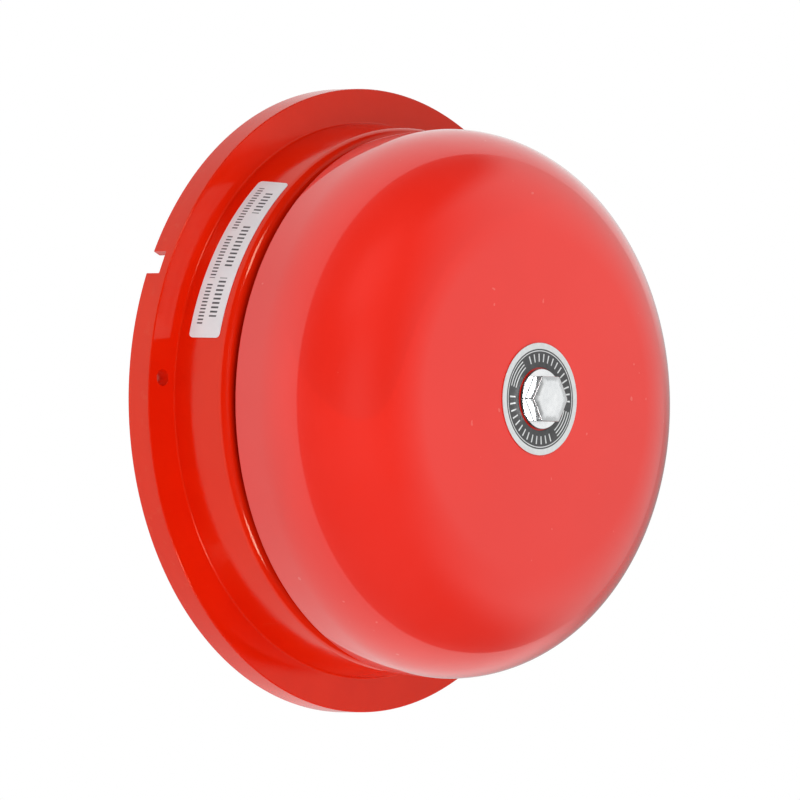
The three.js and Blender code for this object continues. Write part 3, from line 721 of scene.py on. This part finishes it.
def build_label():
    """A thin sheet on the neck's cone, with rounded corners and a slight tilt."""
    middle_angle, middle_height, tilt = 149.6, 16.9, 0.62
    mean_radius, corner, columns, rows = 76.6, 1.2, 96, 10
    half_length, half_width = LABEL_LENGTH / 2, LABEL_WIDTH / 2
    slope = (NECK_RADIUS - LIP_RADIUS) / (FRONT - LIP_ROUND - NECK_LOW)
    points, uvs, faces = [], [], []
    for lift in (0.08, 0.28):
        for column in range(columns + 1):
            share = -math.cos(math.pi * column / columns)
            along = share * half_length
            past = max(0, abs(along) - (half_length - corner))
            reach = half_width - corner + math.sqrt(max(0, corner**2 - past**2))
            angle = middle_angle + math.degrees(along / mean_radius)
            for row in range(rows + 1):
                across = (2 * row / rows - 1) * reach
                height = middle_height + across - tilt * along / half_length
                radius = NECK_RADIUS - slope * (height - NECK_LOW) + lift
                turn = math.radians(angle)
                points.append(at(radius * math.cos(turn), radius * math.sin(turn), height))
                uvs.append(((along + half_length) / LABEL_LENGTH, (across + half_width) / LABEL_WIDTH))
    stride = rows + 1
    layer = stride * (columns + 1)
    for column in range(columns):
        for row in range(rows):
            first = column * stride + row
            quad = (first, first + stride, first + stride + 1, first + 1)
            faces.append(quad)
            faces.append(tuple(layer + i for i in reversed(quad)))
    edge = list(range(stride))
    edge += [column * stride + rows for column in range(1, columns + 1)]
    edge += [columns * stride + row for row in range(rows - 1, -1, -1)]
    edge += [column * stride for column in range(columns - 1, 0, -1)]
    for i, here in enumerate(edge):
        after = edge[(i + 1) % len(edge)]
        faces.append((here, after, layer + after, layer + here))
    piece = make_object("label", points, faces)
    print_map = piece.data.uv_layers.new(name="UVMap")
    for loop in piece.data.loops:
        print_map.data[loop.index].uv = uvs[loop.vertex_index]
    settle(piece, "rating_label", "label_paper")


build_label()

# ---- gong and its fastening

GONG_TOP, GONG_THICK, GONG_DROP = 70.4, 1.8, 1.1
SHOULDER_CENTRE, SHOULDER_RADIUS = (44.7, 39.1), 30.8


def build_gong():
    rim_height, draft, dome_radius, hole = 28.2, 2.74, 2000.0, 5.4
    dome_angle = math.degrees(math.asin(SHOULDER_CENTRE[0] / dome_radius))

    def dome(radius):
        return GONG_TOP - radius**2 / (2 * dome_radius)

    def shoulder(radius):
        return [(x, y, 0) for x, y in arc(*SHOULDER_CENTRE, radius, -draft, 90 - dome_angle, 44)]

    def across(drop):
        return [(r, dome(r) - drop, 0) for r in (40, 34, 28, 22, 16, 11, 7)]

    outline = [
        (75.0 - GONG_THICK, rim_height, 0.55), (75.0, rim_height, 0.55), *shoulder(SHOULDER_RADIUS),
        *across(0), (hole, dome(hole), 0.3), (hole, dome(hole) - GONG_THICK, 0.3),
        *across(GONG_THICK)[::-1],
        *shoulder(SHOULDER_RADIUS - GONG_THICK)[::-1],
    ]
    gong = turned("gong_shell", rounded(outline, 0, 5), 288, turned_about(0, -GONG_DROP))
    gong_only.objects.link(gong)
    all_but_gong.objects.link(gong)
    all_but_gong.collection_objects[0].light_linking.link_state = "EXCLUDE"
    settle(gong, "gong", "red_enamel", angle=50)


build_gong()


def tube_outline(inner, outer, low, high, edge=0.2):
    return rounded(oblong(inner, low, outer, high), edge, 3)


def simple(name, outline, sides, node, slot, body="bell", place=at):
    """A piece that is only a turned outline."""
    return settle(turned(name, outline, sides, place), node, slot, body)


fastening_pieces = [
    simple("decal_ring", tube_outline(8.6, 15.25, 70.5, 70.7, 0.06), 160, "gong_decal", "printed_foil"),
    simple("face_washer", tube_outline(4.35, 8.2, 70.5, 71.5, 0.22), 96, "gong_washer", "bright_zinc"),
]


def build_bolt():
    """The head sits on the washer; its top slopes gently from a flat circle to the corners."""
    low, high, flats, circle = 71.6, 74.9, 12.2, 4.3
    corner = flats / math.sqrt(3)
    head = prism("gong_fixing_bolt", hexagon(flats), low, high)
    slope = 0.4 / (corner - circle)
    cone = [(0, low - 1), (corner + 1, low - 1), (corner + 1, high - slope * (corner + 1 - circle))]
    cone += [(circle, high), (0, high)]
    combine(head, [turned("cone", cone, 144)], "INTERSECT")
    shank = [(0, 52), (3.4, 52), (4, 52.6), (4, low + 1), (0, low + 1)]
    combine(head, [turned("shank", shank, 64)], "UNION")
    bevel(head, 0.22, 4, 25)
    return settle(head, "gong_bolt", "bright_zinc", angle=60)


gong_bolt = build_bolt()
bolt_only.objects.link(gong_bolt)
for piece in [*fastening_pieces, gong_bolt]:
    fastening.objects.link(piece)

# ---- post and its fastening


def slot_cutter(turn, half_length, half_width, low, high, place):
    """A bar at an angle in degrees across a screw's axis, for its slot or for one arm of its cross."""
    spin = Matrix.Rotation(math.radians(turn), 2)
    bar = oblong(-half_length, -half_width, half_length, half_width)
    return prism("slot", [tuple(spin @ Vector(p)) for p in bar], low, high, place)


def pan_head_screw(name, node, x, y, surface, head, height, shank, length):
    """A pan-head screw with a cross recess, standing on a surface, its point towards the wall."""
    low, tip = surface + GAP, surface - length
    outline = [
        (0, tip, 0), (shank * 0.5, tip, 0.1), (shank, tip + shank, 0.1), (shank, low, 0),
        (head, low, 0.12), (head, low + height * 0.5, 0.5), (head * 0.65, low + height, 0.6),
        (0, low + height, 0),
    ]
    place = turned_about(x, y)
    screw = turned(name, rounded(outline, 0, 5), 48, place)
    recess, above = low + height * 0.45, low + height + 1
    arms = [slot_cutter(turn, head * 0.52, head * 0.11, recess, above, place) for turn in (20, 110)]
    combine(screw, arms, "DIFFERENCE")
    settle(screw, node, "bright_zinc")


def build_post():
    simple("fibre_ring", tube_outline(4.6, 10, 66.8, 68.3, 0.15), 96, "fibre_washer", "fibre")
    top = 66.5
    outline = [
        (0, 3.6, 0), (3.5, 3.6, 0), (4, 4.1, 0.1), (4, 17.1, 0), (7, 17.1, 0.3), (7, top - 6, 0.6),
        (9, top - 4, 0.6), (9, top, 0.3), (4.35, top, 0.3), (4.35, top - 16, 0), (0, top - 17, 0),
    ]
    simple("post", rounded(outline, 0, 4), 96, "gong_post", "plated_steel")
    simple("back_washer", tube_outline(4.35, 9, 10.6, 12.1, 0.25), 96, "post_washer", "plated_steel")

    low, high, flats = 4.9, 10.3, 13.0
    nut = prism("back_nut", hexagon(flats), low, high)
    chamfer, reach = 0.55, flats / math.sqrt(3)
    double_cone = [
        (0, low), (reach - 2 * chamfer, low), (reach, low + chamfer), (reach, high - chamfer),
        (reach - 2 * chamfer, high), (0, high),
    ]
    combine(nut, [turned("cone", double_cone, 144)], "INTERSECT")
    bore = [(0, low - 1), (4.9, low - 1), (4.9, low), (4.35, low + 0.55), (4.35, high - 0.55)]
    bore += [(4.9, high), (4.9, high + 1), (0, high + 1)]
    combine(nut, [turned("bore", bore, 72)], "DIFFERENCE")
    bevel(nut, 0.12, 2, 25)
    settle(nut, "post_nut", "plated_steel")


build_post()

# ---- chassis

CHASSIS_LOW, CHASSIS_TOP = WELL_FLOOR + GAP, WELL_FLOOR + GAP + 1.5
FRAME_SCREW = (14.5, -40)
STOP_SCREW_Y = -19


def drilled(piece, holes, low, high):
    """Cuts round holes, each x, y and radius, through a piece between two heights."""
    drills = []
    for x, y, radius in holes:
        drills.append(turned("drill", oblong(0, low, radius, high), 40, turned_about(x, y)))
    return combine(piece, drills, "DIFFERENCE")


def build_chassis():
    wide, narrow, bottom, corner = 21.5, 14, -56.5, 4
    outline = [
        *arc(wide - corner, bottom + corner, corner, -90, 0, 8), (wide, -32), (narrow, -25),
        (narrow, 5), *arc(0, 17, 8, 0, 180, 24), (-narrow, 5), (-narrow, -25), (-wide, -32),
        *arc(-wide + corner, bottom + corner, corner, 180, 270, 8),
    ]
    plate = prism("chassis", outline, CHASSIS_LOW, CHASSIS_TOP)
    holes = [(0, 0, 4.3), *[(x, y, 2.2) for x, y in CHASSIS_SCREWS]]
    x, y = FRAME_SCREW
    holes += [(x, y, 1.6), (-x, y, 1.6), (0, STOP_SCREW_Y, 1.6)]
    drilled(plate, holes, CHASSIS_LOW - 1, CHASSIS_TOP + 1)
    bevel(plate, 0.2, 2, 50)
    settle(plate, "chassis_plate", "plated_steel")
    for i, (x, y) in enumerate(CHASSIS_SCREWS, 1):
        pan_head_screw(f"plate_screw_{i}", f"chassis_screw_{i}", x, y, CHASSIS_TOP, 3.5, 2.2, 1.5, 9)


build_chassis()

# ---- solenoid

SOLENOID_HEIGHT = 34
FLANGE_RADIUS = 14
PIN_TIP, PIN_Y, PIN_SPREAD = -17.5, -28.35, 3


def in_solenoid(px, py, pz):
    """The solenoid's own frame: z is the distance out from the gong's axis, downwards."""
    return at(px, -pz, SOLENOID_HEIGHT + py)


def in_side_view(px, py, pz):
    """For a side view of the solenoid, [distance, height], given a width across it."""
    return at(pz, -px, py)


def build_frame():
    inner, outer, sheet, half = 25.3, 56.6, 2.0, 11.0
    low = CHASSIS_TOP + GAP
    top, bend, outer_bend = low + 31.4, 0.8, 2.8
    side = [
        (inner, top), *arc(inner + outer_bend, low + outer_bend, outer_bend, 180, 270, 10),
        *arc(outer - outer_bend, low + outer_bend, outer_bend, 270, 360, 10), (outer, top),
        (outer - sheet, top), *arc(outer - outer_bend, low + outer_bend, bend, 0, -90, 8),
        *arc(inner + outer_bend, low + outer_bend, bend, -90, -180, 8), (inner + sheet, top),
    ]
    frame_piece = prism("yoke", side, -half, half, in_side_view)
    x, y = FRAME_SCREW
    ears = rounded(oblong(-x - 4, y - 5, x + 4, y + 5), 2.0, 6)
    combine(frame_piece, [prism("ears", ears, low, low + sheet)], "UNION")
    drilled(frame_piece, [(x, y, 1.9), (-x, y, 1.9)], low - 1, low + sheet + 1)
    bores = []
    for radius, start, end in ((5.25, inner - 1, inner + sheet + 1), (4.4, outer - sheet - 1, outer + 1)):
        bores.append(turned("bore", oblong(0, start, radius, end), 64, in_solenoid))
    combine(frame_piece, bores, "DIFFERENCE")
    bevel(frame_piece, 0.25, 2, 50)
    settle(frame_piece, "solenoid_frame", "soft_iron")
    for side, at_x in (("left", -x), ("right", x)):
        names = (f"yoke_screw_{side}", f"frame_screw_{side}")
        pan_head_screw(*names, at_x, y, low + sheet, 2.9, 1.8, 1.3, 3.6)


build_frame()


def in_coil(name, outline, node, slot, body="bell", edge=0.2, sides=72):
    """A piece turned round the solenoid's axis, with its corners rounded unless they say otherwise."""
    simple(name, rounded(outline, edge, 4), sides, node, slot, body, in_solenoid)


def build_coil():
    start, end, flange = 27.6, 54.3, 1.5
    wide = FLANGE_RADIUS
    outline = [(5.25, start), (wide, start, 0.4), (wide, start + flange, 0.4), (6.4, start + flange)]
    outline += [(6.4, end - flange), (wide, end - flange, 0.4), (wide, end, 0.4), (5.25, end)]
    in_coil("bobbin", outline, "coil_bobbin", "nylon")
    start, end = start + flange + GAP, end - flange - GAP
    in_coil("winding", tube_outline(6.7, 12.2, start, end), "coil_winding", "copper_wire", edge=0)
    in_coil("tape_wrap", tube_outline(12.5, 13, start, end, 0.1), "coil_tape", "coil_tape", edge=0)
    outline = [(2.9, 48.4), (4.9, 48.4), (4.9, 54.3), (4.1, 54.3), (4.1, 57.1), (2.9, 57.1)]
    in_coil("pole", outline, "pole_piece", "soft_iron", edge=0.15)
    outline = [(1.8, 48.8), (2.6, 48.8), (2.6, 57.4), (4, 57.4, 0.3), (4, 58.6, 0.3), (1.8, 58.6)]
    in_coil("bush", outline, "guide_bush", "nylon", edge=0.15)
    for name, side in (("live", -1), ("neutral", 1)):
        outline = rounded([(0, 0, 0), (0.5, 0), (0.5, 3.2), (0, 3.2, 0)], 0.12, 3)
        height = SOLENOID_HEIGHT + PIN_SPREAD * side

        def place(px, py, pz, height=height):
            return at(-FLANGE_RADIUS - pz, PIN_Y + px, height + py)

        simple(f"pin_{name}", outline, 32, f"coil_pin_{name}", "brass", "bell", place)


build_coil()


def build_striker():
    outline = [
        (0, 13.3, 0), (4.3, 13.3), (4.9, 13.9), (4.9, 14.4, 0.08), (4.1, 14.4, 0.1),
        (4.1, 15.8, 0.1), (4.9, 15.8, 0.08), (4.9, 43.6), (4.5, 44), (1.8, 44), (1.8, 36, 0),
        (0, 36, 0),
    ]
    in_coil("core", outline, "plunger", "soft_iron", "striker", 0.15, 80)

    opening, inner = 35, 4.4
    outline = arc(0, 0, 7.4, -90 + opening, 270 - opening, 48)
    outline += arc(0, 0, inner, 270 - opening, -90 + opening, 48)
    clip = prism("clip", outline, 14.7, 15.5, in_solenoid)
    bevel(clip, 0.12, 2, 50)
    settle(clip, "plunger_clip", "bright_zinc", "striker")

    outline = [(0, 36.4, 0), (1.2, 36.4), (1.5, 36.7), (1.5, 66.8), (1.2, 67.1), (0, 67.1, 0)]
    in_coil("rod", outline, "striker_rod", "brass", "striker", 0.1, 48)
    outline = [(1.8, 63.6, 0.15), (3.2, 63.6, 0.3), (4.2, 64.6, 0.4)]
    outline += [(x, y, 0) for x, y in arc(0, 66.2, 4.2, 25, 88, 14)]
    outline += [(0, 70.4, 0), (0, 67.4, 0), (1.8, 67.4, 0)]
    in_coil("tip", outline, "striker_tip", "nylon", "striker", 0, 72)


build_striker()


def smooth_route(points, steps):
    """A centripetal Catmull-Rom curve through the points."""
    points = [Vector(p) for p in points]
    points = [2 * points[0] - points[1], *points, 2 * points[-1] - points[-2]]
    route = []
    for i in range(1, len(points) - 2):
        near = points[i - 1 : i + 3]
        times = [0.0]
        for a, b in zip(near, near[1:]):
            times.append(times[-1] + math.sqrt((b - a).length))
        for step in range(steps):
            time = times[1] + (times[2] - times[1]) * step / steps
            level = near
            for depth in (1, 2, 3):
                level = [
                    level[k].lerp(level[k + 1], (time - times[k]) / (times[k + depth] - times[k]))
                    for k in range(4 - depth)
                ]
            route.append(level[0])
    return [*route, points[-2]]


def swept(name, route, radius, sides, place=at):
    """A round wire along a route, with rounded ends."""
    route = [place(*p) for p in route]
    count = len(route)
    ahead = []
    for i in range(count):
        ahead.append((route[min(i + 1, count - 1)] - route[max(i - 1, 0)]).normalized())
    side = ahead[0].orthogonal().normalized()
    points, faces = [], []
    edge = 0.3 * radius * MM
    rings = [(0, 0.7, 0.0), (0, 1.0, edge)]
    rings += [(i, 1.0, 0.0) for i in range(1, count - 1)]
    rings += [(count - 1, 1.0, -edge), (count - 1, 0.7, 0.0)]
    for i, share, shift in rings:
        side = (side - ahead[i] * side.dot(ahead[i])).normalized()
        other = ahead[i].cross(side)
        for k in range(sides):
            angle = 2 * math.pi * k / sides
            out = side * math.cos(angle) + other * math.sin(angle)
            points.append(route[i] + ahead[i] * shift + out * (radius * share * MM))
    for ring in range(len(rings) - 1):
        for k in range(sides):
            a, b = ring * sides + k, ring * sides + (k + 1) % sides
            faces.append((a, b, b + sides, a + sides))
    faces.append(tuple(range(sides)))
    faces.append(tuple(len(points) - sides + k for k in range(sides)))
    return make_object(name, points, faces)


def build_spring():
    radius, start, end, turns, steps = 6.2, 16.3, 24.5, 4, 48
    route = []
    for i in range(turns * steps + 1):
        angle = 2 * math.pi * i / steps
        along = start + (end - start) * i / (turns * steps)
        route.append((radius * math.cos(angle), radius * math.sin(angle), along))
    spring = swept("spring", route, 0.45, 14, in_solenoid)
    settle(spring, "return_spring", "bright_zinc", angle=50)
    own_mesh(spring)


build_spring()


def build_backstop():
    low, sheet, start, top, half, bend = CHASSIS_TOP + GAP, 1.5, 8.6, 42, 6, 0.6
    side = [
        (23, low), (start + bend + sheet, low),
        *arc(start + bend + sheet, low + bend + sheet, bend + sheet, 270, 180, 10)[1:],
        (start, top), (start + sheet, top),
        *arc(start + bend + sheet, low + bend + sheet, bend, 180, 270, 8), (23, low + sheet),
    ]
    bracket = prism("stop_bracket", side, -half, half, in_side_view)
    drilled(bracket, [(0, STOP_SCREW_Y, 1.9)], low - 1, low + sheet + 1)
    hole = turned("hole", oblong(0, start - 1, 2.2, start + 3), 48, in_solenoid)
    combine(bracket, [hole], "DIFFERENCE")
    bevel(bracket, 0.2, 2, 50)
    settle(bracket, "backstop_bracket", "plated_steel")
    pan_head_screw("stop_screw", "backstop_screw", 0, STOP_SCREW_Y, low + sheet, 2.9, 1.8, 1.3, 3.2)
    face = start + sheet + GAP
    outline = [
        (0, 7.5, 0), (2.6, 7.5, 0.4), (2.6, start - GAP), (1.9, start - GAP), (1.9, face),
        (4.5, face), (4.5, 12.5), (4, 13.0, 0.3), (0, 13.0, 0),
    ]
    in_coil("buffer", outline, "rubber_buffer", "rubber", edge=0.15)


build_backstop()

# ---- wiring

in_wiring = spun(TERMINAL_ANGLE)
BLOCK_LOW, WIRE_HEIGHT, HALF_SPACING, SLOT_HALF = 3.4, 8.2, 5.6, 0.28


def build_terminal_block():
    start, end, half, top = BLOCK_AT - 9, BLOCK_AT + 9, 9.5, FLOOR_BACK - GAP
    block = prism("connector", oblong(start, -half, end, half), BLOCK_LOW, top, in_wiring)
    bevel(block, 0.5, 3)
    groove = oblong(start - 1, -0.6, BLOCK_AT - 3.6, 0.6)
    far_groove = [(2 * BLOCK_AT - x, y) for x, y in groove]
    low, recess, seat = BLOCK_LOW - 1, BLOCK_LOW + 1.2, BLOCK_LOW + 2.2
    cutters = [prism("groove", g, low, recess, in_wiring) for g in (groove, far_groove)]

    def across(y):
        return lambda px, py, pz: in_wiring(px + BLOCK_AT, py + y, pz)

    hole = [(0, low), (2.8, low), (2.8, seat), (1.5, seat), (1.5, 14), (0, 14)]
    cutters.append(turned("drill", hole, 48, across(0)))
    for side in (-1, 1):
        y = side * HALF_SPACING
        cutters.append(turned("drill", oblong(0, low, 2.2, WIRE_HEIGHT), 48, across(y)))

        def way(px, py, pz, y=y):
            return in_wiring(pz, y + px, WIRE_HEIGHT + py)

        wide = [(0, start - 1), (3.1, start - 1), (3.1, start), (2.7, start + 0.4)]
        wide += [(2.7, end - 0.4), (3.1, end), (3.1, end + 1), (0, end + 1)]
        cutters.append(turned("way", wide, 56, way))
        name = "live" if side < 0 else "neutral"
        sleeve = tube_outline(1.5, 2.4, BLOCK_AT - 7, BLOCK_AT + 7, 0.15)
        simple(f"sleeve_{name}", sleeve, 56, f"terminal_sleeve_{name}", "brass", "bell", way)

        low_end, high_end = BLOCK_LOW - 0.4, WIRE_HEIGHT - 2.4 - GAP
        outline = rounded([(0, low_end, 0), (1.9, low_end), (1.9, high_end), (0, high_end, 0)], 0.25, 4)
        screw = turned(f"clamp_{name}", outline, 56, across(y))
        slot = slot_cutter(35 - 60 * side, 3, SLOT_HALF, low_end - 1, low_end + 0.7, across(y))
        combine(screw, [slot], "DIFFERENCE")
        settle(screw, f"terminal_screw_{name}", "brass")
    combine(block, cutters, "DIFFERENCE")
    settle(block, "terminal_block", "black_moulding")

    head = [
        (0, BLOCK_LOW + 0.2, 0), (2.4, BLOCK_LOW + 0.2, 0.6), (2.4, BLOCK_LOW + 1.9, 0.1),
        (1.2, BLOCK_LOW + 1.9, 0.1), (1.2, FLOOR_BACK + 0.6, 0), (0.5, FLOOR_BACK + 1.4, 0),
        (0, FLOOR_BACK + 1.4, 0),
    ]
    screw = turned("block_screw", rounded(head, 0, 5), 56, across(0))
    arms = [slot_cutter(turn, 1.3, SLOT_HALF, low, recess, across(0)) for turn in (15, 105)]
    combine(screw, arms, "DIFFERENCE")
    settle(screw, "terminal_block_screw", "bright_zinc")


build_terminal_block()


def wire_way(distance, side):
    turn = math.radians(TERMINAL_ANGLE)
    x = math.cos(turn) * distance - math.sin(turn) * HALF_SPACING * side
    y = math.sin(turn) * distance + math.cos(turn) * HALF_SPACING * side
    return (x, y, WIRE_HEIGHT)


DIODE_X, DIODE_Z, DIODE_TOP, DIODE_BOTTOM = -24.5, 21.5, -9.8, -24
LEAD_RADIUS = 0.9


def build_leads():
    outline = [
        (2.3, 10.9, 0.3), (6.4, 10.9, 0.5), (6.4, 12.1, 0.15), (4.7, 12.1, 0.15), (4.7, 15.3, 0.15),
        (6.4, 15.3, 0.15), (6.4, 16.5, 0.5), (2.3, 16.5, 0.3),
    ]
    place = turned_about(*GROMMET)
    simple("grommet", rounded(outline, 0, 5), 72, "lead_grommet", "rubber", "bell", place)
    block_inner = BLOCK_AT - 9
    x_neutral, x_live, y = GROMMET[0] - 1.05, GROMMET[0] + 1.05, GROMMET[1]
    to_diode = [
        wire_way(block_inner + 3, 1),
        wire_way(block_inner - 0.5, 1),
        (-29.8, 8.6, 7.6), (-27.2, 4.4, 6.4), (-26.2, 0.4, 7.2), (x_neutral, y, 10.5),
        (x_neutral, y, 14), (-26, -2.8, 17.8), (-25.3, -5.2, 20.6),
        (DIODE_X, DIODE_TOP + 2.2, DIODE_Z), (DIODE_X, DIODE_TOP + GAP, DIODE_Z),
    ]
    to_coil = [
        wire_way(block_inner + 3, -1),
        wire_way(block_inner - 0.5, -1),
        (-25.4, 17.6, 7.6), (-23, 12.6, 6.4), (-22.8, 5, 6), (-23.6, 0.4, 7.2), (x_live, y, 10.5),
        (x_live, y, 14), (-23.5, -2.9, 17.6), (-21.6, -5.4, 20.6), (-19.6, -10, 24),
        (-18.9, -17, 29.5), (-18.9, -24, 35.2), (-18.6, -27.6, 36.9),
        (PIN_TIP, PIN_Y, SOLENOID_HEIGHT + PIN_SPREAD),
    ]
    across = [
        (DIODE_X, DIODE_BOTTOM - GAP, DIODE_Z), (DIODE_X, DIODE_BOTTOM - 2.2, DIODE_Z + 0.6),
        (-23.6, -28, 25.4), (-21.2, PIN_Y, 29.6), (PIN_TIP, PIN_Y, SOLENOID_HEIGHT - PIN_SPREAD),
    ]
    leads = [
        ("wire_to_diode", to_diode, "lead_diode", "red_lead"),
        ("wire_to_coil", to_coil, "lead_coil", "blue_lead"),
        ("wire_across", across, "lead_diode_to_coil", "red_lead"),
    ]
    for name, route, node, slot in leads:
        wire = swept(name, smooth_route(route, 8), LEAD_RADIUS, 20)
        settle(wire, node, slot, angle=50)

    middle, half = (DIODE_TOP + DIODE_BOTTOM) / 2, 4.5
    outline = [
        (0, DIODE_BOTTOM, 0), (0.6, DIODE_BOTTOM, 0.1), (0.6, middle - half, 0.05),
        (2.2, middle - half, 0.2), (2.7, middle - half + 0.5, 0.3), (2.7, middle + half - 0.5, 0.3),
        (2.2, middle + half, 0.2), (0.6, middle + half, 0.05), (0.6, DIODE_TOP, 0.1),
        (0, DIODE_TOP, 0),
    ]

    def place(px, py, pz):
        return at(DIODE_X + px, pz, DIODE_Z + py)

    simple("diode", rounded(outline, 0, 5), 56, "rectifier_diode", "black_moulding", "bell", place)


build_leads()
